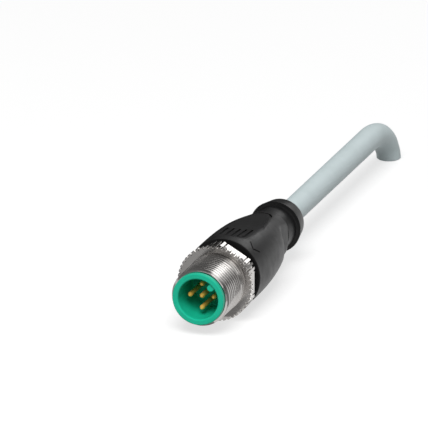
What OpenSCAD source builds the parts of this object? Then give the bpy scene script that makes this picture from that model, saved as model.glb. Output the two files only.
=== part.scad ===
// Straight M12 cable connector, male, with five contacts, on a short cable.
// The part lies with its mating face towards -Y and +Z up. Its origin is on the connector's axis,
// at the front face of the knurled ring, where the coupling thread ends.
// Each piece is drawn standing on Z with its mating end up, and laid down by lay_down().

/* [Coupling screw] */
// Diameter of the coupling thread, over its crests
thread_d = 12; // [11.8:0.1:12.4]
// Length of the threaded sleeve, from the knurled ring to its front
thread_len = 9.5; // [8.5:0.1:12]
// Chamfer at the front of the thread
thread_chamfer = 0.5; // [0.2:0.05:0.6]
// Plain length between the knurled ring and the first groove
thread_run_out = 0.6; // [0.2:0.1:1.5]
// Distance between the thread's ridges, from middle to middle
thread_pitch = 1; // [0.75:0.05:1.25]
// Depth of the grooves between the ridges
thread_depth = 0.5; // [0.3:0.05:0.55]
// Width of a ridge's crest, as a share of the pitch
thread_crest_ratio = 0.2; // [0.1:0.05:0.3]
// Width of a groove's root, as a share of the pitch
thread_root_ratio = 0.2; // [0.1:0.05:0.3]
// Bore that turns on the contact carrier
screw_bore_d = 10; // [9.8:0.05:10.2]
// How far the knurled ring stands proud of the grip, all round
knurl_proud = 0.175; // [0.05:0.025:0.5]
// Number of teeth round the knurled ring
knurl_teeth = 48; // [36:6:60]
// Depth of a knurl groove
knurl_depth = 0.45; // [0.2:0.05:0.5]
// Width of a tooth's flat crest, as a share of the pitch
knurl_crest_ratio = 0.5; // [0.3:0.05:0.6]
// Width of a knurl groove's floor, as a share of the pitch
knurl_root_ratio = 0.2; // [0.1:0.05:0.3]
// Length of the knurled ring
knurl_len = 1.2; // [0.8:0.1:2]
// Distance across the spanner flats
hex_across = 14.35; // [13.8:0.05:14.6]
// Length of the spanner flats
hex_len = 2.65; // [2:0.05:4]

/* [Contact carrier] */
// Diameter of the lip that holds the coupling screw from the front
lip_d = 10.8; // [10.5:0.05:10.9]
// Thickness of the lip
lip_len = 1; // [0.7:0.05:1.3]
// Inner diameter of the cup
cup_d = 8.4; // [8.2:0.05:8.7]
// Depth of the cup behind the lip
cup_depth = 9.6; // [8.5:0.1:9.9]
// Width of the coding key
key_w = 1.3; // [0.9:0.1:1.6]
// How far the coding key stands out of the cup's wall
key_reach = 1.3; // [0.8:0.1:1.5]
// How far the coding key starts behind the lip
key_set_back = 0.4; // [0.3:0.1:1.5]
// Diameter of the shoulder that is moulded into the grip
shoulder_d = 11.4; // [10.8:0.1:12]
// Thickness of that shoulder
shoulder_len = 1.2; // [0.8:0.1:1.6]
// Diameter of the carrier behind the shoulder
tail_d = 9.2; // [8.8:0.1:9.6]
// Length of the carrier behind the shoulder
tail_len = 2.2; // [1.5:0.1:3]

/* [Contacts] */
// Diameter of a contact pin
pin_d = 1; // [0.8:0.05:1.1]
// Diameter of the circle through the four outer pins
pin_circle_d = 5; // [4.8:0.1:5.2]
// How far the pin tips lie behind the lip
pin_tip_depth = 2.4; // [1.8:0.1:3.3]
// Length of a pin's tapered tip
pin_tip_len = 0.4; // [0.2:0.05:0.6]
// Diameter of the collar that holds a contact
contact_collar_d = 1.8; // [1.6:0.05:2]
// Length of that collar
contact_collar_len = 1; // [0.6:0.1:1.5]
// Thickness of the cup's floor in front of the collars
cup_floor_len = 2; // [1.5:0.1:2.5]
// Outer diameter of a crimp barrel
barrel_d = 1.5; // [1.35:0.05:1.6]
// How far a crimp barrel stands out of the carrier
barrel_out = 2.5; // [2:0.1:3]
// Bore of a crimp barrel
crimp_bore_d = 0.86; // [0.84:0.01:0.95]
// Depth of that bore
crimp_depth = 4; // [3:0.1:4.5]

/* [Grip body] */
// Largest diameter of the grip
grip_d = 15.35; // [14.8:0.05:16]
// Diameter of the nose behind the coupling screw
nose_d = 13; // [12.6:0.1:13.6]
// Length of the nose
nose_len = 1.8; // [1.4:0.1:2.4]
// Length of the grip's parallel front part
grip_front_len = 2.7; // [2:0.1:4]
// Length of the part that narrows to the neck
grip_taper_len = 24.2; // [22:0.1:27]
// Diameter at the end of that part
grip_end_d = 10.5; // [9.8:0.1:10.8]
// Diameter of the neck
neck_d = 9; // [8.6:0.1:9.4]
// Length of the neck
neck_len = 5.95; // [4:0.05:7]
// Diameter of the rear collar, at its front
collar_d = 10.8; // [10.2:0.05:11.2]
// Diameter of the rear collar where the cable leaves it
collar_end_d = 9.45; // [8.8:0.05:10]
// Length of the rear collar
collar_len = 4.4; // [3:0.1:6]
// Height of the grip's top and bottom flats above the axis, at their front
flat_front_h = 6.95; // [6.7:0.05:7.3]
// Height of those flats where they run out at the neck
flat_end_h = 5.35; // [4.9:0.05:5.5]
// Radius of the finger scallops in the grip's sides
scallop_r = 5; // [4:0.1:7]
// Distance from the front of the taper to the middle of the scallops
scallop_back = 20.5; // [19.5:0.1:22]
// How far the scallops stay clear of the neck's outline
scallop_web = 0.05; // [0.02:0.01:0.3]
// Number of plain grooves in the top flat
groove_count = 5; // [3:1:5]
// Distance between the grooves, from middle to middle
groove_pitch = 1.3; // [1:0.1:1.6]
// Distance from the front of the taper to the grooves
groove_set_back = 1.8; // [1.5:0.1:3]
// Length of a grip groove
groove_len = 6.2; // [4:0.1:8]
// Width of a grip groove
groove_w = 0.45; // [0.3:0.05:0.6]
// Depth of a grip groove
groove_depth = 0.3; // [0.2:0.05:0.5]
// Length of each stroke of the arrow head that marks the coding key's side
mark_len = 2.2; // [1.5:0.1:2.6]
// Width of its strokes
mark_w = 0.3; // [0.2:0.05:0.4]
// Depth of its strokes
mark_depth = 0.25; // [0.15:0.05:0.4]

/* [Cable] */
// Outer diameter of the cable
cable_d = 5; // [4.5:0.1:5.4]
// Outer diameter of an insulated wire
wire_d = 1.25; // [1.2:0.05:1.3]
// Diameter of a copper conductor
conductor_d = 0.76; // [0.7:0.01:0.78]
// How far the inner mould reaches behind the carrier
mould_len = 17; // [16:0.1:19]
// Diameter of the inner mould
mould_d = 10.2; // [9.8:0.1:10.6]
// Diameter of the inner mould where the cable enters it
mould_end_d = 7.2; // [6.8:0.1:7.6]
// Length of the cone between those two diameters
mould_cone_len = 2; // [1.5:0.1:4]
// How far the cable's jacket reaches into the inner mould
jacket_in = 3; // [2:0.1:4]

/* [Fits] */
// Radial running clearance between the coupling screw and the carrier
running_gap = 0.05; // [0.02:0.01:0.1]
// End play of the coupling screw, at the lip and at the grip
end_play = 0.2; // [0.1:0.05:0.3]
// Clearance round pieces that are moulded or pressed in
seat_gap = 0.02; // [0.01:0.005:0.03]

/* [Hidden] */
$fn = 96;

// Radii
thread_r = thread_d / 2;
screw_bore_r = screw_bore_d / 2;
knurl_r = grip_d / 2 + knurl_proud;
lip_r = lip_d / 2;
cup_r = cup_d / 2;
shaft_r = screw_bore_r - running_gap;
shoulder_r = shoulder_d / 2;
tail_r = tail_d / 2;
pin_r = pin_d / 2;
contact_collar_r = contact_collar_d / 2;
barrel_r = barrel_d / 2;
crimp_bore_r = crimp_bore_d / 2;
grip_r = grip_d / 2;
neck_r = neck_d / 2;
collar_r = collar_d / 2;
collar_end_r = collar_end_d / 2;
cable_r = cable_d / 2;
wire_r = wire_d / 2;
conductor_r = conductor_d / 2;
mould_r = mould_d / 2;

// Stations along the axis, positive towards the mating end
sleeve_front = thread_len;
lip_rear = sleeve_front + end_play;
lip_front = lip_rear + lip_len;
cup_floor = lip_front - cup_depth;
pin_tip = lip_front - pin_tip_depth;
contact_collar_front = cup_floor - cup_floor_len;
contact_collar_rear = contact_collar_front - contact_collar_len;
screw_rear = -knurl_len - hex_len;
grip_front = screw_rear - end_play;
grip_step = grip_front - nose_len;
nose_wall = 1;
shoulder_front = grip_front - nose_wall;
shoulder_rear = shoulder_front - shoulder_len;
carrier_rear = shoulder_rear - tail_len;
contact_rear = carrier_rear - barrel_out;
crimp_floor = contact_rear + crimp_depth;
mould_rear = carrier_rear - mould_len;
jacket_front = mould_rear + jacket_in;
taper_front = grip_step - grip_front_len;
taper_rear = taper_front - grip_taper_len;
collar_front = taper_rear - neck_len;
collar_rear = collar_front - collar_len;

// Wires: bare end behind the crimp barrel, then a straight stretch, then inwards to the cable
strip_len = 0.3;
wire_straight_len = 1.7;
wire_front = contact_rear - strip_len;
wire_bend_front = wire_front - wire_straight_len;
wire_bend_rear = jacket_front + wire_straight_len;
core_ring_r = wire_d + 2 * seat_gap;
wire_sides = 8;

// Angles: the pins stand in a cross with one in the middle, and the key halfway between two of them
pin_angles = [0, 90, 180, 270];
key_angle = 45;

// Grooves and ramps of the grip: the ramps and the mark start in front of the taper
flat_ramp_lead = 1.5;
flat_ramp_len = 2.5;
mark_lead = 0.5;
groove_front = taper_front - groove_set_back;
flat_ramp_front = taper_front + flat_ramp_lead;
flat_ramp_rear = flat_ramp_front - flat_ramp_len;
mark_front = taper_front + mark_lead;
mark_spread = 40;
mould_shoulder = jacket_front + mould_cone_len;

// Handles of the taper's curve: how far back they lie, as shares of its length, and how much of
// the diameter's loss is still to come at the second one
taper_handle_ratios = [0.634, 0.743];
taper_left_ratio = 0.3;

// Edge breaks and small radii
edge = 0.25;
lip_round = 0.35;
grip_edge = 0.15;
collar_edge = 0.1;

// Grooves of the thread: as many as fit between the plain length and the chamfer
thread_land = thread_pitch * thread_crest_ratio;
groove_total = floor((sleeve_front - thread_chamfer - thread_run_out) / thread_pitch);

// How far a shape reaches into what it joins, and a cutting shape past what it cuts
overlap = 0.3;
past = 1;

// Colours
GREEN = [0.08, 0.70, 0.54];
GOLD = [0.83, 0.64, 0.29];
NICKEL = [0.62, 0.60, 0.58];
BLACK = [0.13, 0.13, 0.14];
NATURAL = [0.80, 0.78, 0.70];
COPPER = [0.78, 0.45, 0.28];
CABLE_GREY = [0.70, 0.76, 0.77];
WIRE_COLOURS = [
    [0.36, 0.20, 0.10], [0.90, 0.90, 0.88], [0.10, 0.25, 0.60], [0.08, 0.08, 0.08], [0.50, 0.51, 0.52]
];

// Points of an arc round a centre, between two angles
function arc(centre, r, from, to, steps = 8) = [
    for (i = [0 : steps])
        let (a = from + (to - from) * i / steps)
            [centre[0] + r * cos(a), centre[1] + r * sin(a)]
];

// A point of a cubic curve through a first and a last point
function cubic(a, b, c, d, t) =
    pow(1 - t, 3) * a + 3 * t * pow(1 - t, 2) * b + 3 * t * t * (1 - t) * c + pow(t, 3) * d;

module lay_down() {
    rotate([90, 0, 0]) children();
}

module contact_carrier() {
    profile = concat(
        [[0, cup_floor], [cup_r, cup_floor]],
        arc([cup_r + lip_round, lip_front - lip_round], lip_round, 180, 90),
        arc([lip_r - edge, lip_front - edge], edge, 90, 0),
        [
            [lip_r, lip_rear], [shaft_r, lip_rear],
            [shaft_r, shoulder_front], [shoulder_r, shoulder_front],
            [shoulder_r, shoulder_rear], [tail_r, shoulder_rear],
            [tail_r, carrier_rear], [0, carrier_rear]
        ]
    );
    color(GREEN) lay_down() difference() {
        union() {
            rotate_extrude() polygon(profile);
            coding_key();
        }
        at_contacts() contact_seat();
    }
}

// Rounded rib inside the cup that codes the mating part
module coding_key() {
    key_top = lip_front - key_set_back;
    nose_r = cup_r - key_reach + key_w / 2;
    rotate([0, 0, key_angle]) translate([0, 0, cup_floor - overlap])
        linear_extrude(key_top - cup_floor + overlap) {
            translate([nose_r, 0]) circle(key_w / 2, $fn = 32);
            translate([nose_r, -key_w / 2]) square([cup_r + overlap - nose_r, key_w]);
        }
}

// Places its child at each of the five contacts
module at_contacts() {
    for (i = [0 : 4]) at_contact(i) children();
}

module at_contact(i) {
    place = i < 4 ? pin_circle_d / 2 * [cos(pin_angles[i]), sin(pin_angles[i]), 0] : [0, 0, 0];
    translate(place) children();
}

// Hole that one contact is pressed into
module contact_seat() {
    translate([0, 0, contact_collar_front])
        cylinder(r = pin_r + seat_gap, h = cup_floor_len + overlap, $fn = 48);
    translate([0, 0, carrier_rear - overlap])
        cylinder(r = contact_collar_r + seat_gap, h = contact_collar_front - carrier_rear + overlap, $fn = 48);
}

// Turned contact with a tapered tip, a holding collar and a crimp barrel
module contact(i) {
    flat_tip_r = pin_r / 2;
    collar_front_face = contact_collar_front - seat_gap;
    profile = [
        [0, pin_tip], [flat_tip_r, pin_tip], [pin_r, pin_tip - pin_tip_len],
        [pin_r, collar_front_face], [contact_collar_r, collar_front_face],
        [contact_collar_r, contact_collar_rear], [barrel_r, contact_collar_rear],
        [barrel_r, contact_rear], [crimp_bore_r, contact_rear],
        [crimp_bore_r, crimp_floor], [0, crimp_floor]
    ];
    color(GOLD) lay_down() at_contact(i) rotate_extrude($fn = 48) polygon(profile);
}

// Outline of the knurled ring: flat crests and steep grooves with a flat floor
function knurl_outline() = [
    for (i = [0 : knurl_teeth - 1], k = [0 : 3])
        let (
            pitch = 360 / knurl_teeth,
            crest = pitch * knurl_crest_ratio / 2,
            root = pitch * knurl_root_ratio / 2,
            a = pitch * i + [-crest, crest, pitch / 2 - root, pitch / 2 + root][k],
            r = k < 2 ? knurl_r : knurl_r - knurl_depth
        )
            r * [cos(a), sin(a)]
];

// Corners of one groove of the thread, counted from the knurled ring
function thread_groove(i) =
    let (
        rear = thread_run_out + i * thread_pitch,
        front = rear + thread_pitch - thread_land,
        half_root = thread_pitch * thread_root_ratio / 2,
        middle = (rear + front) / 2,
        root_r = thread_r - thread_depth
    )
        [[thread_r, rear], [root_r, middle - half_root], [root_r, middle + half_root], [thread_r, front]];

module coupling_screw() {
    sleeve_profile = concat(
        [[0, -overlap], [thread_r, -overlap]],
        [for (i = [0 : groove_total - 1]) each thread_groove(i)],
        [
            [thread_r, sleeve_front - thread_chamfer], [thread_r - thread_chamfer, sleeve_front],
            [0, sleeve_front]
        ]
    );
    color(NICKEL) lay_down() difference() {
        union() {
            rotate_extrude() polygon(sleeve_profile);
            translate([0, 0, -knurl_len]) linear_extrude(knurl_len) polygon(knurl_outline());
            translate([0, 0, screw_rear]) linear_extrude(hex_len) spanner_outline();
        }
        translate([0, 0, screw_rear - overlap])
            cylinder(r = screw_bore_r, h = sleeve_front - screw_rear + 2 * overlap);
    }
}

// Six flats that leave the knurl standing at their corners
module spanner_outline() {
    intersection() {
        polygon(knurl_outline());
        rotate(30) circle(hex_across / (2 * cos(30)), $fn = 6);
    }
}

// Outside of the grip between its parallel front and the neck, as a cubic curve
function grip_taper(steps = 14) = [
    for (i = [1 : steps])
        let (t = i / steps, end_r = grip_end_d / 2)
            [
                cubic(grip_r, grip_r, end_r + taper_left_ratio * (grip_r - end_r), end_r, t),
                taper_front - cubic(0, taper_handle_ratios[0], taper_handle_ratios[1], 1, t) * grip_taper_len
            ]
];

module grip_body() {
    end_round = grip_end_d / 2 - neck_r;
    outside = concat(
        [
            [nose_d / 2, grip_front], [nose_d / 2, grip_step],
            [grip_r - grip_edge, grip_step], [grip_r, grip_step - grip_edge], [grip_r, taper_front]
        ],
        grip_taper(),
        [
            [neck_r, taper_rear - end_round], [neck_r, collar_front],
            [collar_r, collar_front], [collar_r, collar_front - collar_edge],
            [collar_end_r, collar_rear + collar_edge], [collar_end_r - collar_edge, collar_rear]
        ]
    );
    inside = [
        [cable_r + seat_gap, collar_rear], [cable_r + seat_gap, mould_rear],
        [mould_end_d / 2 + seat_gap, mould_rear], [mould_end_d / 2 + seat_gap, jacket_front],
        [mould_r + seat_gap, mould_shoulder], [mould_r + seat_gap, carrier_rear],
        [tail_r + seat_gap, carrier_rear], [tail_r + seat_gap, shoulder_rear],
        [shoulder_r + seat_gap, shoulder_rear], [shoulder_r + seat_gap, shoulder_front],
        [shaft_r + seat_gap, shoulder_front], [shaft_r + seat_gap, grip_front]
    ];
    color(BLACK) lay_down() difference() {
        rotate_extrude() polygon(concat(outside, inside));
        for (side = [0, 1]) mirror([0, side, 0]) flat_cut(0, grip_d);
        for (side = [0, 1]) mirror([side, 0, 0]) side_scallop();
        for (i = [0 : groove_count - 1]) grip_groove(i);
        key_mark();
    }
}

// What is cut away above a sloping flat: a wedge of a given width, sunk by a depth
module flat_cut(depth, width) {
    slope = (flat_front_h - flat_end_h) / grip_taper_len;
    wedge = [
        [grip_r + past, flat_ramp_front], [flat_front_h - depth, flat_ramp_rear],
        [flat_end_h - depth - slope * past, taper_rear - past], [grip_r + past, taper_rear - past]
    ];
    rotate([90, 0, 90]) linear_extrude(width, center = true) polygon(wedge);
}

// Hollow for a finger, as deep as the neck, seen from above
module side_scallop() {
    middle = taper_front - scallop_back;
    web = neck_r + scallop_web;
    rotate([-90, 0, 0]) linear_extrude(grip_d, center = true) {
        translate([web + scallop_r, -middle]) circle(scallop_r);
        translate([web, -middle]) square([scallop_r, middle - taper_rear + past]);
    }
}

// Plain groove along the top flat
module grip_groove(i) {
    x = (i - (groove_count - 1) / 2) * groove_pitch;
    intersection() {
        translate([x, 0, 0]) flat_cut(groove_depth, groove_w);
        translate([x - groove_w, 0, groove_front - groove_len]) cube([2 * groove_w, grip_d, groove_len]);
    }
}

// Engraved arrow head that shows where the coding key is
module key_mark() {
    rotate([0, 0, key_angle]) translate([grip_r - mark_depth, 0, mark_front])
        for (side = [-1, 1]) rotate([side * mark_spread, 0, 0])
            translate([0, -mark_w / 2, -mark_len]) cube([past, mark_w, mark_len]);
}

// First moulding, round the crimp barrels, the wires and the end of the jacket
module inner_mould() {
    profile = [
        [0, carrier_rear], [mould_r, carrier_rear], [mould_r, mould_shoulder],
        [mould_end_d / 2, jacket_front], [mould_end_d / 2, mould_rear],
        [cable_r + seat_gap, mould_rear], [cable_r + seat_gap, jacket_front], [0, jacket_front]
    ];
    color(NATURAL) lay_down() difference() {
        rotate_extrude() polygon(profile);
        for (i = [0 : 4]) {
            at_contact(i) translate([0, 0, wire_front])
                cylinder(r = barrel_r + seat_gap, h = carrier_rear - wire_front + overlap, $fn = 48);
            wire_path(i, wire_r + seat_gap, wire_front + overlap, jacket_front - overlap);
        }
    }
}

// Rod of eight sides that follows one wire from its contact to the cable
module wire_path(i, r, front, rear) {
    from_axis = i < 4 ? [pin_circle_d / 2, core_ring_r] : [0, 0];
    stations = [
        [from_axis[0], front], [from_axis[0], wire_bend_front],
        [from_axis[1], wire_bend_rear], [from_axis[1], rear]
    ];
    rotate([0, 0, i < 4 ? pin_angles[i] : 0]) sweep([
        for (p = stations)
            [for (k = [0 : wire_sides - 1]) let (a = 360 * (k + 0.5) / wire_sides)
                [p[0] + r * cos(a), r * sin(a), p[1]]]
    ]);
}

// Closed solid through rings that have equally many points
module sweep(rings) {
    n = len(rings[0]);
    last = len(rings) - 1;
    walls = [
        for (i = [0 : last - 1], k = [0 : n - 1])
            let (a = i * n, next = (k + 1) % n)
                [a + k, a + next, a + n + next, a + n + k]
    ];
    start = [for (k = [n - 1 : -1 : 0]) k];
    end = [for (k = [0 : n - 1]) last * n + k];
    polyhedron([for (ring = rings) each ring], concat(walls, [start, end]));
}

module wire(i) {
    color(WIRE_COLOURS[i]) lay_down() difference() {
        wire_path(i, wire_r, wire_front, jacket_front);
        wire_path(i, conductor_r + seat_gap, wire_front + overlap, jacket_front - overlap);
    }
}

module conductor(i) {
    color(COPPER) lay_down() wire_path(i, conductor_r, crimp_floor - strip_len, jacket_front);
}

// Route of the cable, in the part's own frame: out of the collar, then down to the surface
cable_route = [
    [0, -jacket_front, 0], [0, 34, 0], [0, 46, 0], [0, 58, 0], [0, 70, 0], [0, 82, 0], [0, 93, 0],
    [0, 100.2, 0], [0, 101.8, -0.06], [0, 103.3, -0.25], [0, 104.9, -0.57], [0.05, 106.3, -0.98],
    [0.05, 107.6, -1.5], [0.1, 108.8, -2.2], [0.15, 109.9, -3.05], [0.2, 110.9, -4.05], [0.2, 111.7, -5.2],
    [0.25, 112.4, -6.4], [0.25, 112.9, -7.85]
];
cable_sides = 12;

// Direction of the route at one of its points
function route_direction(i) =
    let (
        last = len(cable_route) - 1,
        d = cable_route[min(i + 1, last)] - cable_route[max(i - 1, 0)]
    )
        d / norm(d);

// Ring of points round the route. The last one is cut level, so that the end stands on the surface.
function cable_ring(i) =
    let (
        d = route_direction(i),
        side = cross(d, [1, 0, 0]) / norm(cross(d, [1, 0, 0])),
        across = cross(side, d),
        level = i == len(cable_route) - 1
    )
        [
            for (k = [0 : cable_sides - 1])
                let (
                    a = 360 * (k + 0.5) / cable_sides,
                    offset = cable_r * (cos(a) * across + sin(a) * side),
                    slide = level ? -offset[2] / d[2] : 0
                )
                    cable_route[i] + offset + slide * d
        ];

module cable() {
    color(CABLE_GREY) sweep([for (i = [0 : len(cable_route) - 1]) cable_ring(i)]);
}

contact_carrier();
contact(0);  // pin_1
contact(1);  // pin_2
contact(2);  // pin_3
contact(3);  // pin_4
contact(4);  // pin_5
coupling_screw();
grip_body();
inner_mould();
wire(0);  // wire_1
wire(1);  // wire_2
wire(2);  // wire_3
wire(3);  // wire_4
wire(4);  // wire_5
conductor(0);  // conductor_1
conductor(1);  // conductor_2
conductor(2);  // conductor_3
conductor(3);  // conductor_4
conductor(4);  // conductor_5
cable();
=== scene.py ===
import math

import bmesh
import bpy
from mathutils import Matrix, Vector


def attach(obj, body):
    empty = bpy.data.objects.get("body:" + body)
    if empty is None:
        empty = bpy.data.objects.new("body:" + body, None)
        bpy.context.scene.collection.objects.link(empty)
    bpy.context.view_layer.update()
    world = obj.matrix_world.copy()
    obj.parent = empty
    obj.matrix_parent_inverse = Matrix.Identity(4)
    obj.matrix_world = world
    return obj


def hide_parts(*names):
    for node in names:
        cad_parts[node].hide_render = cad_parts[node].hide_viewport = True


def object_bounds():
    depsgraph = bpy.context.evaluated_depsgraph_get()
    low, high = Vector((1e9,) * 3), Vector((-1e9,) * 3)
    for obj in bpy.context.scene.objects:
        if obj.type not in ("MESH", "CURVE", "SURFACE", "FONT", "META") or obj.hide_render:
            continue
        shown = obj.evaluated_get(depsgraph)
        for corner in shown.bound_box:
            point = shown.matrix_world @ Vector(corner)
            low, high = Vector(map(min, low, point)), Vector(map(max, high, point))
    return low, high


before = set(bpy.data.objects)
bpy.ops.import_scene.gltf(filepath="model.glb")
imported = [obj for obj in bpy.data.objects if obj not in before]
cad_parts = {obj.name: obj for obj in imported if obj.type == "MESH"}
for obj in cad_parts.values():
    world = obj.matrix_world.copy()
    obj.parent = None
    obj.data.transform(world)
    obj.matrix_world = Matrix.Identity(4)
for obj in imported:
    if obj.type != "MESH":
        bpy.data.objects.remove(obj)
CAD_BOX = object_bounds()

MM = 0.001
TURN = 2 * math.pi
bpy.context.scene.view_settings.view_transform = "Standard"

# ---------------------------------------------------------------- sizes, in mm, as in the part's source
# Y runs from the mating end to the cable; the origin is on the axis, at the knurled ring's front face.
SLEEVE_FRONT, BORE_R, BORE_CHAMFER = -9.5, 5.0, 0.1
THREAD_R, THREAD_DEPTH, THREAD_PITCH, THREAD_CHAMFER, RUN_OUT = 6.0, 0.56, 1.0, 0.5, 0.6
THREAD_PROFILE = [  # place along one pitch and depth under the crest
    (0.0, 0.02), (0.03, 0.0), (0.25, 0.0), (0.28, 0.02), (0.56, 0.53), (0.64, THREAD_DEPTH), (0.72, 0.53),
]
KNURL_R, KNURL_TEETH, KNURL_DEPTH, KNURL_CREST, KNURL_ROOT, KNURL_LEN = 7.85, 48, 0.45, 0.5, 0.2, 1.2
HEX_ACROSS, SCREW_REAR, SCREW_BEVEL = 14.35, 3.85, 0.09

GRIP_R, NOSE_R, GRIP_FRONT, GRIP_STEP = 7.675, 6.5, 4.05, 5.85
TAPER_FRONT, TAPER_REAR, GRIP_END_R = 8.55, 32.75, 5.25
TAPER_HANDLES, TAPER_LEFT = (0.634, 0.743), 0.3
NECK_R, NECK_UNDERCUT = 4.5, 0.2
COLLAR_FRONT, COLLAR_REAR, COLLAR_R, COLLAR_END_R = 38.7, 43.1, 5.4, 4.725
FLAT_FRONT_H, FLAT_SLOPE, RAMP_FRONT, RAMP_REAR = 6.95, 0.0688, 7.05, 9.55
SCALLOP_R, SCALLOP_MIDDLE, SCALLOP_WEB = 5.0, 29.05, 4.55
RAMP_BLEND, FLAT_BLEND, SCALLOP_BLEND = 0.8, 0.35, 0.5
FAR = 99.0  # a surface that is out of the way

# the hollow in the grip, which is filled by the jacket, the inner mould and the rear of the carrier
SEAT_GAP, CABLE_R = 0.02, 2.5
MOULD_R, MOULD_END_R, MOULD_SHOULDER, JACKET_FRONT, MOULD_REAR = 5.1, 3.6, 20.45, 22.45, 25.45
SHAFT_R, SHOULDER_R, SHOULDER_FRONT, SHOULDER_REAR, TAIL_R, CARRIER_REAR = 4.95, 5.7, 5.05, 6.25, 4.6, 8.45

# marks on the grip: grooves and an edge line on its top, an arrow head on the side of the key
KEY_ANGLE = 45
GROOVE_COUNT, GROOVE_PITCH, GROOVE_FRONT, GROOVE_LEN, GROOVE_W, GROOVE_DEPTH = 5, 1.3, 10.35, 6.2, 0.45, 0.3
ARROW_FRONT, ARROW_LEN, ARROW_W, ARROW_DEPTH, ARROW_SPREAD = 8.05, 2.2, 0.3, 0.25, 40
EDGE_LINE_W, EDGE_LINE_DEPTH = 0.55, 0.3
EDGE_LINE = [  # X and Y of one half, from the side to the middle
    (4.0, 18.5), (3.4, 22.3), (2.95, 25), (2.6, 27), (2.2, 28.9), (1.95, 30), (1.4, 30.75), (0.5, 31),
    (0, 31),
]

CABLE_ROUTE = [
    (0, JACKET_FRONT, 0), (0, 34, 0), (0, 46, 0), (0, 58, 0), (0, 70, 0), (0, 82, 0), (0, 93, 0),
    (0, 100.2, 0), (0, 101.8, -0.06), (0, 103.3, -0.25), (0, 104.9, -0.57), (0.05, 106.3, -0.98),
    (0.05, 107.6, -1.5), (0.1, 108.8, -2.2), (0.15, 109.9, -3.05), (0.2, 110.9, -4.05), (0.2, 111.7, -5.2),
    (0.25, 112.4, -6.4), (0.25, 112.9, -7.85),
]
FLOOR_Z = CAD_BOX[0].z  # in metres

# ---------------------------------------------------------------- camera
LENS, SENSOR, VIEW_WIDTH = 1500.0, 36.0, 85.6 * MM
AZIMUTH, ELEVATION = math.radians(18.45), math.radians(18.0)
LIP_MIDDLE = Vector((0, -10.4 * MM, 0))
PICTURE_MIDDLE = Vector((3.17 * MM, 17.05 * MM, 0))  # right of the lip's middle and above it, in the picture
back = Vector((
    math.sin(AZIMUTH) * math.cos(ELEVATION), -math.cos(AZIMUTH) * math.cos(ELEVATION), math.sin(ELEVATION)
))
facing = (-back).to_track_quat("-Z", "Y")
camera = bpy.data.objects.new("camera", bpy.data.cameras.new("camera"))
bpy.context.scene.collection.objects.link(camera)
camera.data.lens, camera.data.sensor_width = LENS, SENSOR
camera.data.clip_start, camera.data.clip_end = 0.1, 20.0
camera.rotation_mode = "QUATERNION"
camera.rotation_quaternion = facing
camera.location = LIP_MIDDLE + facing @ PICTURE_MIDDLE + back * (LENS / SENSOR * VIEW_WIDTH)
bpy.context.scene.camera = camera


# ---------------------------------------------------------------- mesh helpers
def obj_from(name, verts, faces, sharp=30.0):
    """An object from points in mm, with its normals outwards and its edges sharp past an angle."""
    mesh = bpy.data.meshes.new(name)
    bm = bmesh.new()
    made = [bm.verts.new([c * MM for c in v]) for v in verts]
    for f in faces:
        if len(set(f)) > 2:
            bm.faces.new([made[i] for i in dict.fromkeys(f)])
    bmesh.ops.recalc_face_normals(bm, faces=bm.faces)
    bm.to_mesh(mesh)
    bm.free()
    shade(mesh, sharp)
    obj = bpy.data.objects.new(name, mesh)
    bpy.context.scene.collection.objects.link(obj)
    return obj


def shade(mesh, sharp):
    mesh.shade_smooth()
    mesh.set_sharp_from_angle(angle=math.radians(sharp))


def band(a, b, n):
    """Faces between two rings of n points, which start at the points a and b."""
    return [(a + k, a + (k + 1) % n, b + (k + 1) % n, b + k) for k in range(n)]


def wrap(rings, closed):
    """Points and faces of rings of equally many points; open ends are capped."""
    n, m = len(rings[0]), len(rings)
    faces = []
    for i in range(m if closed else m - 1):
        faces += band(i * n, (i + 1) % m * n, n)
    if not closed:
        faces += [tuple(range(n)), tuple(range((m - 1) * n, m * n))]
    return [p for ring in rings for p in ring], faces


def ring_at(n, radius, y):
    """Ring of n points round the axis; the radius is a number or a function of the angle."""
    out = []
    for k in range(n):
        a = TURN * k / n
        r = radius(a) if callable(radius) else radius
        out.append((r * math.cos(a), y, r * math.sin(a)))
    return out


def smooth_min(a, b, k):
    """The lesser of two values, blended where they are nearer than k."""
    h = max(k - abs(a - b), 0.0) / k
    return min(a, b) - h * h * k / 4


def catmull(points, per):
    """Smooth line through points (centripetal Catmull-Rom), with per steps between each two."""
    pts = [Vector(p) for p in points]
    out = []
    for i in range(len(pts) - 1):
        p0, p1, p2, p3 = pts[max(i - 1, 0)], pts[i], pts[i + 1], pts[min(i + 2, len(pts) - 1)]
        t0, t1 = 0.0, max((p1 - p0).length, 1e-6) ** 0.5
        t2 = t1 + (p2 - p1).length ** 0.5
        t3 = t2 + max((p3 - p2).length, 1e-6) ** 0.5
        for s in range(per):
            t = t1 + (t2 - t1) * s / per
            a1 = p0 * ((t1 - t) / (t1 - t0)) + p1 * ((t - t0) / (t1 - t0)) if i else p1
            a2 = p1 * ((t2 - t) / (t2 - t1)) + p2 * ((t - t1) / (t2 - t1))
            a3 = p2 * ((t3 - t) / (t3 - t2)) + p3 * ((t - t2) / (t3 - t2)) if i + 2 < len(pts) else p2
            b1 = a1 * ((t2 - t) / (t2 - t0)) + a2 * ((t - t0) / (t2 - t0)) if i else a2
            b2 = a2 * ((t3 - t) / (t3 - t1)) + a3 * ((t - t1) / (t3 - t1)) if i + 2 < len(pts) else a2
            out.append(b1 * ((t2 - t) / (t2 - t1)) + b2 * ((t - t1) / (t2 - t1)))
    out.append(pts[-1])
    return out


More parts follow.
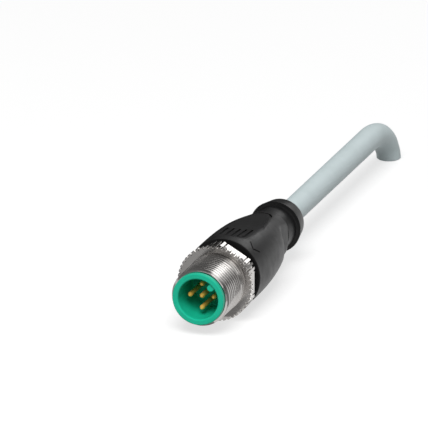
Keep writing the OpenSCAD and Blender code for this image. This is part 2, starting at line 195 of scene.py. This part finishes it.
# ---------------------------------------------------------------- cable
def make_cable():
    """Tube along the route, with its far end cut level with the floor."""
    line = catmull(CABLE_ROUTE, 6)
    sides = 56
    end_bevel, end_inner, end_clear = 0.18, 0.34, 1.1
    rings = []
    for i, p in enumerate(line):
        if 0 < (line[-1] - p).length < end_clear:
            continue  # these rings would cut through the level end
        d = (line[min(i + 1, len(line) - 1)] - line[max(i - 1, 0)]).normalized()
        side = d.cross(Vector((1, 0, 0))).normalized()
        across = side.cross(d)
        level = i >= len(line) - 1
        ring = []
        for k in range(sides):
            a = TURN * k / sides
            off = CABLE_R * (math.cos(a) * across + math.sin(a) * side)
            ring.append(p + off + (d * (-off.z / d.z) if level else Vector()))
        rings.append(ring)
    centre = rings[-1][0].lerp(rings[-1][sides // 2], 0.5)
    above = [v + (rings[-2][k] - v).normalized() * end_bevel for k, v in enumerate(rings[-1])]
    rings = rings[:-1] + [above, [v.lerp(centre, end_bevel / CABLE_R) for v in rings[-1]]]
    rings.append([v.lerp(centre, end_inner) for v in rings[-1]])
    verts, faces = wrap([[tuple(v) for v in r] for r in rings], False)
    piece = obj_from("cable_tube", verts, faces, 40)
    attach(piece, "connector")
    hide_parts("cable")
    return piece


# ---------------------------------------------------------------- coupling screw
def knurl_r(a):
    pitch = TURN / KNURL_TEETH
    t = abs((a / pitch + 0.5) % 1 - 0.5)
    crest, wall = KNURL_CREST / 2, (1 - KNURL_CREST - KNURL_ROOT) / 2
    if t < crest:
        return KNURL_R * math.cos(crest * pitch) / math.cos(t * pitch)
    return KNURL_R - KNURL_DEPTH * min((t - crest) / wall, 1)


def hex_r(a):
    """Radius behind the knurl, where the flats cut into it."""
    t = (a + TURN / 12) % (TURN / 6) - TURN / 12
    return min(knurl_r(a), HEX_ACROSS / 2 / math.cos(t))


def make_screw():
    """Sleeve, knurled ring and hexagon from rings round the axis, and the thread as a helical ribbon."""
    n = 840
    fillet, rear_bevel, step_back, snap = 0.06, 0.05, 0.001, 0.012
    front_r = THREAD_R - THREAD_CHAMFER
    rings = [
        ring_at(n, BORE_R + BORE_CHAMFER, SLEEVE_FRONT), ring_at(n, front_r, SLEEVE_FRONT),
        ring_at(n, THREAD_R, -RUN_OUT), ring_at(n, THREAD_R, -fillet), ring_at(n, THREAD_R + fillet, 0.0),
        ring_at(n, lambda a: knurl_r(a) - SCREW_BEVEL, 0.0), ring_at(n, knurl_r, SCREW_BEVEL),
        ring_at(n, knurl_r, KNURL_LEN - rear_bevel),
        ring_at(n, lambda a: max(knurl_r(a) - rear_bevel, hex_r(a)), KNURL_LEN),
        ring_at(n, hex_r, KNURL_LEN + step_back), ring_at(n, hex_r, SCREW_REAR - SCREW_BEVEL),
        ring_at(n, lambda a: hex_r(a) - SCREW_BEVEL, SCREW_REAR),
        ring_at(n, BORE_R + BORE_CHAMFER, SCREW_REAR), ring_at(n, BORE_R, SCREW_REAR - BORE_CHAMFER),
        ring_at(n, BORE_R, SLEEVE_FRONT + BORE_CHAMFER),
    ]
    verts, faces = wrap(rings, True)
    del faces[n:2 * n]  # the thread takes the place of the band between rings 1 and 2
    made = {}

    def thread_vertex(step, k):
        """Number of the ribbon's point k at a step round the axis; past its ends, ring 1 or 2 has it."""
        step += n * (k // len(THREAD_PROFILE))
        k %= len(THREAD_PROFILE)
        phase, depth = THREAD_PROFILE[k]
        y = SLEEVE_FRONT + (step / n - 1 + phase) * THREAD_PITCH
        spot = -step % n
        if y <= SLEEVE_FRONT + snap:
            return n + spot
        if y >= -RUN_OUT - snap:
            return 2 * n + spot
        if (step, k) not in made:
            a = TURN * spot / n
            r = min(max(THREAD_R - depth, THREAD_R + RUN_OUT + y), front_r + (y - SLEEVE_FRONT))
            made[step, k] = len(verts)
            verts.append((r * math.cos(a), y, r * math.sin(a)))
        return made[step, k]

    turns = int((-RUN_OUT - SLEEVE_FRONT) / THREAD_PITCH) + 3
    for step in range(turns * n):
        for k in range(len(THREAD_PROFILE)):
            faces.append((
                thread_vertex(step, k), thread_vertex(step + 1, k), thread_vertex(step + 1, k + 1),
                thread_vertex(step, k + 1),
            ))
    once = {}
    for f in faces:
        once.setdefault(frozenset(f), f)
    piece = obj_from("coupling_screw_threaded", verts, once.values(), 24)
    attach(piece, "coupling")
    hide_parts("coupling_screw")
    return piece


# ---------------------------------------------------------------- grip body
def cubic(a, b, c, d, t):
    return (1 - t) ** 3 * a + 3 * t * (1 - t) ** 2 * b + 3 * t * t * (1 - t) * c + t ** 3 * d


def taper_point(t):
    """Radius and Y of the grip's tapering outline, from 0 at its front to 1 at its rear."""
    r = cubic(GRIP_R, GRIP_R, GRIP_END_R + TAPER_LEFT * (GRIP_R - GRIP_END_R), GRIP_END_R, t)
    y = TAPER_FRONT + cubic(0, TAPER_HANDLES[0], TAPER_HANDLES[1], 1, t) * (TAPER_REAR - TAPER_FRONT)
    return r, y


def flat_line(y):
    return FLAT_FRONT_H - FLAT_SLOPE * (y - RAMP_REAR)


def flat_height(y):
    """Height of the flats above and below the axis, with the ramp at their front."""
    if y >= TAPER_REAR + 1:
        return FAR
    rise = FLAT_FRONT_H + (GRIP_R + 1 - FLAT_FRONT_H) * (RAMP_REAR - y) / (RAMP_REAR - RAMP_FRONT)
    return -smooth_min(-flat_line(y), -rise, RAMP_BLEND)


def scallop_depth(y):
    """Distance of the side scallops from the middle plane."""
    away = SCALLOP_MIDDLE - y
    if y > TAPER_REAR + 1 or away >= SCALLOP_R:
        return FAR
    if away <= 0:
        return SCALLOP_WEB
    return SCALLOP_WEB + SCALLOP_R - math.sqrt(SCALLOP_R ** 2 - away ** 2)


def grip_radius(r, y):
    """The outline's radius by the angle, with the flats and scallops cut in."""
    flat, web = flat_height(y), scallop_depth(y)
    least = 0.05  # below this the cut's plane is too steep to meet

    def at(a):
        out = r
        s, c = abs(math.sin(a)), abs(math.cos(a))
        if s > least:
            out = smooth_min(out, flat / s, FLAT_BLEND)
        if c > least:
            out = smooth_min(out, web / c, SCALLOP_BLEND)
        return out
    return at


def arc_points(centre_r, centre_y, radius, start, end, steps):
    """Points (r, y) of a rounded edge; angles in degrees from outwards towards the cable."""
    out = []
    for i in range(steps + 1):
        a = math.radians(start + (end - start) * i / steps)
        out.append((centre_r + radius * math.cos(a), centre_y + radius * math.sin(a)))
    return out


def cutter(name, outline, low):
    """Closed prism over an outline in X and Y, up to above the grip; low gives its underside by Y."""
    n = len(outline)
    verts = [(x, y, low(y)) for x, y in outline] + [(x, y, GRIP_R + 1) for x, y in outline]
    return obj_from(name, verts, [tuple(range(n)), tuple(range(n, 2 * n))] + band(0, n, n))


def channel(name, path, width, depth, height):
    """Strip that cuts a fine channel along a path in X and Y; height gives the surface over a point."""
    skim, above, fade_points = 0.02, 1.5, 3
    verts, n = [], len(path)
    for i, (x, y) in enumerate(path):
        before, after = path[max(i - 1, 0)], path[min(i + 1, n - 1)]
        along = Vector((after[0] - before[0], after[1] - before[1])).normalized()
        fade = min(1.0, i / fade_points, (n - 1 - i) / fade_points)
        for side in (-1, 1):
            px, py = x - side * along.y * width / 2, y + side * along.x * width / 2
            top = height(px, py)
            verts += [(px, py, top + skim - (depth + skim) * fade), (px, py, top + above)]
    faces = [(0, 2, 3, 1), (4 * n - 4, 4 * n - 3, 4 * n - 1, 4 * n - 2)]
    for i in range(n - 1):
        a, b = 4 * i, 4 * i + 4
        faces += [(a, b, b + 1, a + 1), (a + 2, a + 3, b + 3, b + 2)]
        faces += [(a, a + 2, b + 2, b), (a + 1, b + 1, b + 3, a + 3)]
    return obj_from(name, verts, faces)


def grip_top(x, y):
    """Height of the moulding's upper surface over a point, behind the rounded front edge."""
    low, high = 0.0, 1.0
    for _ in range(24):
        mid = (low + high) / 2
        low, high = (mid, high) if taper_point(mid)[1] < y else (low, mid)
    round_top = math.sqrt(max(taper_point(low)[0] ** 2 - x * x, 0))
    return smooth_min(round_top, flat_height(y), FLAT_BLEND)


def slot_outline(x, y0, y1, width):
    """Outline of a slot along Y with round ends."""
    r, steps = width / 2, 8
    out = []
    for centre, start in ((y1 - r, 0), (y0 + r, 180)):
        for i in range(steps + 1):
            a = math.radians(start + 180 * i / steps)
            out.append((x + r * math.cos(a), centre + r * math.sin(a)))
    return out


def arrow_outline():
    """Outline of two strokes that meet in a point at the origin and open along Y."""
    s, c = math.sin(math.radians(ARROW_SPREAD)), math.cos(math.radians(ARROW_SPREAD))
    out_x, out_y, h = ARROW_LEN * s, ARROW_LEN * c, ARROW_W / 2
    return [
        (0, -h / s), (out_x + h * c, out_y - h * s), (out_x - h * c, out_y + h * s),
        (0, h / s), (-out_x + h * c, out_y + h * s), (-out_x - h * c, out_y - h * s),
    ]


def cut(piece, tools, sharp):
    for tool in tools:
        mod = piece.modifiers.new("cut", "BOOLEAN")
        mod.operation, mod.object, mod.solver = "DIFFERENCE", tool, "EXACT"
    done = bpy.data.meshes.new_from_object(piece.evaluated_get(bpy.context.evaluated_depsgraph_get()))
    piece.modifiers.clear()
    piece.data = done
    shade(done, sharp)
    for tool in tools:
        bpy.data.objects.remove(tool)


def grip_outside():
    """Radius and Y of the grip's outer outline, from its front to the cable's exit."""
    chamfer, step_round, ring_gap, taper_steps = 0.12, 0.15, 0.3, 70
    out = [(NOSE_R - chamfer, GRIP_FRONT), (NOSE_R, GRIP_FRONT + chamfer), (NOSE_R, GRIP_STEP)]
    out += arc_points(GRIP_R - step_round, GRIP_STEP + step_round, step_round, -90, 0, 6)
    out += [(GRIP_R, GRIP_STEP + step_round + ring_gap * i) for i in range(1, 9)]
    out += [taper_point(i / taper_steps) for i in range(taper_steps + 1)]

    end_round, undercut_front, undercut_rear, neck_gap = GRIP_END_R - NECK_R, 0.05, 0.3, 0.5
    neck_front, undercut_r = TAPER_REAR + end_round, NECK_R - NECK_UNDERCUT
    out += arc_points(NECK_R, TAPER_REAR, end_round, 0, 75, 6)[1:]
    out += [(undercut_r, neck_front + undercut_front), (undercut_r, neck_front + undercut_rear)]
    out += [(NECK_R, neck_front + neck_gap * i) for i in range(1, 10)]

    fillet, fillet_middle, front_round, rear_round = 0.3, 0.09, 0.06, 0.1
    out += [
        (NECK_R, COLLAR_FRONT - fillet), (NECK_R + fillet_middle, COLLAR_FRONT - fillet_middle),
        (NECK_R + fillet, COLLAR_FRONT),
    ]
    out += arc_points(COLLAR_R - front_round, COLLAR_FRONT + front_round, front_round, -90, 0, 3)
    out += [(COLLAR_R, COLLAR_FRONT + rear_round)]
    return out + arc_points(COLLAR_END_R - rear_round, COLLAR_REAR - rear_round, rear_round, 5, 90, 4)


def grip_hollow():
    """Radius and Y of the grip's hollow, from the cable's exit to its front."""
    jacket, mould_end, mould = CABLE_R + SEAT_GAP, MOULD_END_R + SEAT_GAP, MOULD_R + SEAT_GAP
    tail, shoulder, shaft = TAIL_R + SEAT_GAP, SHOULDER_R + SEAT_GAP, SHAFT_R + SEAT_GAP
    front_chamfer, exit_chamfer = 0.1, 0.15
    return [
        (jacket + exit_chamfer, COLLAR_REAR), (jacket, COLLAR_REAR - exit_chamfer), (jacket, MOULD_REAR),
        (mould_end, MOULD_REAR), (mould_end, JACKET_FRONT), (mould, MOULD_SHOULDER), (mould, CARRIER_REAR),
        (tail, CARRIER_REAR), (tail, SHOULDER_REAR), (shoulder, SHOULDER_REAR), (shoulder, SHOULDER_FRONT),
        (shaft, SHOULDER_FRONT), (shaft, GRIP_FRONT + front_chamfer), (shaft + front_chamfer, GRIP_FRONT),
    ]


def make_grip():
    n = 360
    rings = [ring_at(n, grip_radius(r, y), y) for r, y in grip_outside()]
    rings += [ring_at(n, r, y) for r, y in grip_hollow()]
    verts, faces = wrap(rings, True)
    piece = obj_from("grip_moulding", verts, faces, 40)

    tools = []
    for i in range(GROOVE_COUNT):
        x = (i - (GROOVE_COUNT - 1) / 2) * GROOVE_PITCH
        outline = slot_outline(x, GROOVE_FRONT, GROOVE_FRONT + GROOVE_LEN, GROOVE_W)
        tools.append(cutter(f"groove_{i}", outline, lambda y: flat_line(y) - GROOVE_DEPTH))
    arrow = [(x, y + ARROW_FRONT) for x, y in arrow_outline()]
    mark = cutter("arrow", arrow, lambda y: GRIP_R - ARROW_DEPTH)
    mark.data.transform(Matrix.Rotation(math.radians(90 - KEY_ANGLE), 4, "Y"))
    tools.append(mark)
    half = [(p.x, p.y) for p in catmull([(x, y, 0) for x, y in EDGE_LINE], 5)]
    line = half + [(-x, y) for x, y in reversed(half[:-1])]
    tools.append(channel("edge_line", line, EDGE_LINE_W, EDGE_LINE_DEPTH, grip_top))
    cut(piece, tools, 32)

    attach(piece, "connector")
    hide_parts("grip_body")
    return piece


# ---------------------------------------------------------------- materials
def add_node(tree, kind, inputs, operation=None):
    """Adds a node; inputs gives, by name or number, the value or the other node's output that each takes."""
    made = tree.nodes.new(kind)
    if operation:
        made.operation = operation
    for key, value in inputs.items():
        if isinstance(value, bpy.types.NodeSocket):
            tree.links.new(value, made.inputs[key])
        else:
            made.inputs[key].default_value = value
    return made


def add_math(tree, operation, a, b):
    return add_node(tree, "ShaderNodeMath", {0: a, 1: b}, operation).outputs[0]


def new_material(name):
    mat = bpy.data.materials.new(name)
    mat.use_nodes = True
    tree = mat.node_tree
    return mat, tree, tree.nodes["Principled BSDF"]


def place_in(tree):
    """The point's place in its object's own coordinates, in metres."""
    return tree.nodes.new("ShaderNodeTexCoord").outputs["Object"]


def noise(tree, scale, detail, rough=0.55, stretch=None):
    place = place_in(tree)
    if stretch:
        place = add_node(tree, "ShaderNodeMapping", {"Vector": place, "Scale": stretch}).outputs["Vector"]
    inputs = {"Vector": place, "Scale": scale, "Detail": detail, "Roughness": rough}
    return add_node(tree, "ShaderNodeTexNoise", inputs).outputs["Fac"]


def grey(v):
    return (v, v, v)


def ramp(tree, source, stops):
    made = add_node(tree, "ShaderNodeValToRGB", {"Fac": source})
    elements = made.color_ramp.elements
    while len(elements) < len(stops):
        elements.new(0.5)
    for element, (position, colour) in zip(elements, stops):
        element.position = position
        element.color = (*colour, 1)
    return made.outputs["Color"]


def vary(tree, shader, name, source, low, high):
    """Lets one of the shader's inputs follow a noise between two colours."""
    tree.links.new(ramp(tree, source, [(0.3, low), (0.7, high)]), shader.inputs[name])


def bump(tree, target, source, strength, distance):
    """Relief for the normal that a shader or another bump takes."""
    made = add_node(tree, "ShaderNodeBump", {"Height": source, "Strength": strength, "Distance": distance})
    tree.links.new(made.outputs["Normal"], target.inputs["Normal"])


def moulded(name, low, high, rough, grain, specular=0.5):
    """Moulded plastic: slight cloudiness of colour, uneven gloss and a fine grain."""
    mat, tree, shader = new_material(name)
    shader.inputs["IOR"].default_value = 1.5
    shader.inputs["Specular IOR Level"].default_value = specular
    vary(tree, shader, "Base Color", noise(tree, scale=260, detail=3), low, high)
    vary(tree, shader, "Roughness", noise(tree, scale=420, detail=4), grey(rough[0]), grey(rough[1]))
    bump(tree, shader, noise(tree, scale=grain, detail=2), strength=0.35, distance=0.01 * MM)
    return mat


def metal(name, low, high, rough, stretch, metallic=1.0, specular=0.5):
    """Plated metal: faint turning marks, slightly uneven tone and gloss."""
    mat, tree, shader = new_material(name)
    shader.inputs["Metallic"].default_value = metallic
    shader.inputs["Specular IOR Level"].default_value = specular
    vary(tree, shader, "Base Color", noise(tree, scale=300, detail=3), low, high)
    marks = noise(tree, scale=900, detail=3, rough=0.6, stretch=stretch)
    vary(tree, shader, "Roughness", marks, grey(rough[0]), grey(rough[1]))
    bump(tree, shader, marks, strength=0.3, distance=0.004 * MM)
    return mat


def add_exit_rings(mat):
    """Faint rings round the jacket behind the collar, each less deep than the one before it."""
    front, rear, count, height = 43.3 * MM, 47.7 * MM, 5, 0.06 * MM
    tree = mat.node_tree
    y = add_node(tree, "ShaderNodeSeparateXYZ", {"Vector": place_in(tree)}).outputs["Y"]
    along = add_node(tree, "ShaderNodeMapRange", {"Value": y, "From Min": front, "From Max": rear})
    stops = []
    for i in range(count):
        middle, side = (i + 0.5) / count, 0.25 / count
        stops += [(middle - side, grey(1)), (middle, grey(0.2 + 0.8 * middle)), (middle + side, grey(1))]
    grain = tree.nodes["Principled BSDF"].inputs["Normal"].links[0].from_node
    bump(tree, grain, ramp(tree, along.outputs["Result"], stops), strength=1.0, distance=height)


def add_thread_shade(mat):
    """Darkens the metal towards the root of the thread, where less light gets in."""
    root, crest, front, rear, least = 5.7 * MM, 5.98 * MM, -8.9 * MM, -0.5 * MM, 0.48
    tree = mat.node_tree
    place = add_node(tree, "ShaderNodeSeparateXYZ", {"Vector": place_in(tree)}).outputs
    across = add_node(tree, "ShaderNodeCombineXYZ", {"X": place["X"], "Z": place["Z"]}).outputs["Vector"]
    radius = add_node(tree, "ShaderNodeVectorMath", {0: across}, "LENGTH").outputs["Value"]
    depth = add_node(tree, "ShaderNodeMapRange", {
        "Value": radius, "From Min": root, "From Max": crest, "To Min": 1.0, "To Max": 0.0,
    }).outputs["Result"]
    behind = add_math(tree, "GREATER_THAN", place["Y"], front)
    before = add_math(tree, "LESS_THAN", place["Y"], rear)
    amount = add_math(tree, "MULTIPLY", depth, add_math(tree, "MULTIPLY", behind, before))
    colour = tree.nodes["Principled BSDF"].inputs["Base Color"]
    mix = tree.nodes.new("ShaderNodeMix")
    mix.data_type, mix.blend_type = "RGBA", "MULTIPLY"
    factor, first, second, result = mix.inputs[0], mix.inputs[6], mix.inputs[7], mix.outputs[2]
    second.default_value = (*grey(least), 1)
    tree.links.new(amount, factor)
    tree.links.new(colour.links[0].from_socket, first)
    tree.links.new(result, colour)


def dress(obj, mat):
    obj.data.materials.clear()
    obj.data.materials.append(mat)


def dress_node(name, mat):
    """Gives a CAD node's object a material through its slots; its mesh keeps its shape."""
    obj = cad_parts[name]
    if not obj.material_slots:
        obj.data.materials.append(mat)
    for slot in obj.material_slots:
        slot.link = "OBJECT"
        slot.material = mat


GREEN = moulded(
    "carrier_green", (0.008, 0.47, 0.29), (0.012, 0.53, 0.335), rough=(0.34, 0.44), grain=5000, specular=0.3
)
BLACK = moulded(
    "black_moulding", (0.006, 0.006, 0.0062), (0.009, 0.009, 0.0092), rough=(0.36, 0.46), grain=7000,
    specular=0.24
)
NATURAL = moulded(
    "natural_moulding", (0.56, 0.53, 0.42), (0.62, 0.59, 0.48), rough=(0.4, 0.5), grain=6000
)
JACKET = moulded(
    "cable_jacket", (0.61, 0.705, 0.715), (0.66, 0.755, 0.77), rough=(0.5, 0.6), grain=4500, specular=0.3
)
NICKEL = metal(
    "nickel_plating", (0.49, 0.474, 0.46), (0.54, 0.522, 0.506), rough=(0.12, 0.18), stretch=(1, 12, 1)
)
GOLD = metal(
    "gold_plating", (0.95, 0.5, 0.09), (1.0, 0.58, 0.14), rough=(0.3, 0.38), stretch=(1, 10, 1), metallic=0.3,
    specular=0.1
)
COPPER = metal(
    "copper_strand", (0.60, 0.26, 0.12), (0.70, 0.32, 0.16), rough=(0.25, 0.35), stretch=(10, 1, 10)
)
add_thread_shade(NICKEL)
add_exit_rings(JACKET)
WIRES = [  # by number; the colours are the usual ones of such a lead
    ("wire_brown", (0.075, 0.022, 0.008)), ("wire_white", (0.72, 0.72, 0.69)),
    ("wire_blue", (0.006, 0.03, 0.22)), ("wire_black", (0.012, 0.012, 0.012)),
    ("wire_grey", (0.17, 0.175, 0.18)),
]

dress(make_cable(), JACKET)
dress(make_screw(), NICKEL)
dress(make_grip(), BLACK)
dress_node("contact_carrier", GREEN)
dress_node("inner_mould", NATURAL)
for number, (wire, colour) in enumerate(WIRES, 1):
    low, high = tuple(c * 0.9 for c in colour), tuple(c * 1.05 for c in colour)
    dress_node(f"pin_{number}", GOLD)
    dress_node(f"conductor_{number}", COPPER)
    dress_node(f"wire_{number}", moulded(wire, low, high, rough=(0.3, 0.4), grain=5000))


# ---------------------------------------------------------------- floor, world and lamps, in metres and watts
FLOOR_SIZE, CARD_LIFT = 5.0, 0.0005
MIDDLE = (0, 0.03, 0)  # of the part; lamps and cards face it


def rectangle(name, size, z=0.0):
    """Flat object about the origin, facing up."""
    w, d = size[0] / 2, size[1] / 2
    mesh = bpy.data.meshes.new(name)
    mesh.from_pydata([(-w, -d, z), (w, -d, z), (w, d, z), (-w, d, z)], [], [(0, 1, 2, 3)])
    obj = bpy.data.objects.new(name, mesh)
    bpy.context.scene.collection.objects.link(obj)
    return obj


def seen(tree):
    """1 for camera, glossy and transmission rays."""
    path = tree.nodes.new("ShaderNodeLightPath").outputs
    either = add_math(tree, "MAXIMUM", path["Is Camera Ray"], path["Is Glossy Ray"])
    return add_math(tree, "MAXIMUM", either, path["Is Transmission Ray"])


def split_by_ray(tree, unseen, shown, end):
    """Gives an output node one shader for the light that bounces and another for what is seen."""
    choice = add_node(tree, "ShaderNodeMixShader", {0: seen(tree), 1: unseen.outputs[0], 2: shown.outputs[0]})
    tree.links.new(choice.outputs[0], tree.nodes[end].inputs["Surface"])


def make_floor():
    """Floor that looks white, keeps the part's shadow and throws less light back than it shows."""
    floor = rectangle("floor", (FLOOR_SIZE, FLOOR_SIZE), FLOOR_Z)
    mat, tree, shader = new_material("floor")
    tree.nodes.remove(shader)
    unseen = add_node(tree, "ShaderNodeBsdfDiffuse", {"Color": (*grey(0.4), 1)})
    lit = add_node(tree, "ShaderNodeBsdfDiffuse", {"Color": (*grey(0.42), 1)})
    glow = add_node(tree, "ShaderNodeEmission", {"Strength": 0.66})
    shown = add_node(tree, "ShaderNodeAddShader", {0: lit.outputs[0], 1: glow.outputs[0]})
    split_by_ray(tree, unseen, shown, "Material Output")
    dress(floor, mat)


def make_world():
    """Soft light from all sides, behind which the background is seen as white."""
    world = bpy.data.worlds.new("studio")
    world.use_nodes = True
    bpy.context.scene.world = world
    tree = world.node_tree
    unseen, shown = tree.nodes["Background"], tree.nodes.new("ShaderNodeBackground")
    for background, strength in ((unseen, 0.27), (shown, 1.0)):
        background.inputs["Color"].default_value = (*grey(1), 1)
        background.inputs["Strength"].default_value = strength
    split_by_ray(tree, unseen, shown, "World Output")


def towards(azimuth, elevation, reach):
    """Point at a reach from the part's middle; degrees to the right of the front and up from level."""
    a, e = math.radians(azimuth), math.radians(elevation)
    across = reach * math.cos(e)
    return (across * math.sin(a), MIDDLE[1] - across * math.cos(a), reach * math.sin(e))


def turn_to(obj, place, target, axis):
    """Puts an object at a place, with one of its axes towards a target."""
    obj.location = place
    obj.rotation_mode = "QUATERNION"
    obj.rotation_quaternion = (Vector(target) - Vector(place)).to_track_quat(axis, "Y")


def lamp(name, place, size, power):
    data = bpy.data.lights.new(name, "AREA")
    data.shape, data.size, data.size_y = "RECTANGLE", size[0], size[1]
    data.energy = power
    obj = bpy.data.objects.new(name, data)
    turn_to(obj, place, MIDDLE, "-Z")
    obj.visible_camera = False
    bpy.context.scene.collection.objects.link(obj)
    return obj


def card(name, place, size, value, target=MIDDLE):
    """Card of one grey that only reflections see."""
    obj = rectangle(name, size)
    turn_to(obj, place, target, "Z")
    obj.visible_camera = obj.visible_diffuse = obj.visible_shadow = False
    mat, tree, shader = new_material(name)
    tree.nodes.remove(shader)
    glow = add_node(tree, "ShaderNodeEmission", {"Color": (*grey(value), 1)})
    tree.links.new(glow.outputs[0], tree.nodes["Material Output"].inputs["Surface"])
    dress(obj, mat)


def floor_card(name, x, y, size, value):
    card(name, (x, y, FLOOR_Z + CARD_LIFT), size, value, (x, y, 1))


make_floor()
make_world()
key = lamp("key", towards(12, 52, 0.95), size=(0.5, 0.5), power=7.3)
key.visible_glossy = False
lamp("back_right", towards(172, 25, 0.7), size=(0.18, 0.3), power=0.4)
lamp("front_right", towards(17, 27, 0.7), size=(0.16, 0.22), power=0.17)
card("dark_back_left", towards(-131, 10, 0.7), size=(1.75, 0.6), value=0.03)
floor_card("dark_floor_left", -0.46, 0.44, size=(0.9, 0.9), value=0.06)
card("dark_front_left", towards(-46, 46, 0.75), size=(1.4, 1.2), value=0.2)
card("dark_right", towards(50, 5, 0.6), size=(0.46, 0.27), value=0.2)
card("grey_back_right", towards(150, 24, 0.8), size=(0.8, 0.6), value=0.3)
floor_card("grey_front_floor", 0, -0.33, size=(1.4, 0.63), value=0.45)
floor_card("dark_front_floor", -0.0045, -0.0085, size=(0.0155, 0.013), value=0.25)
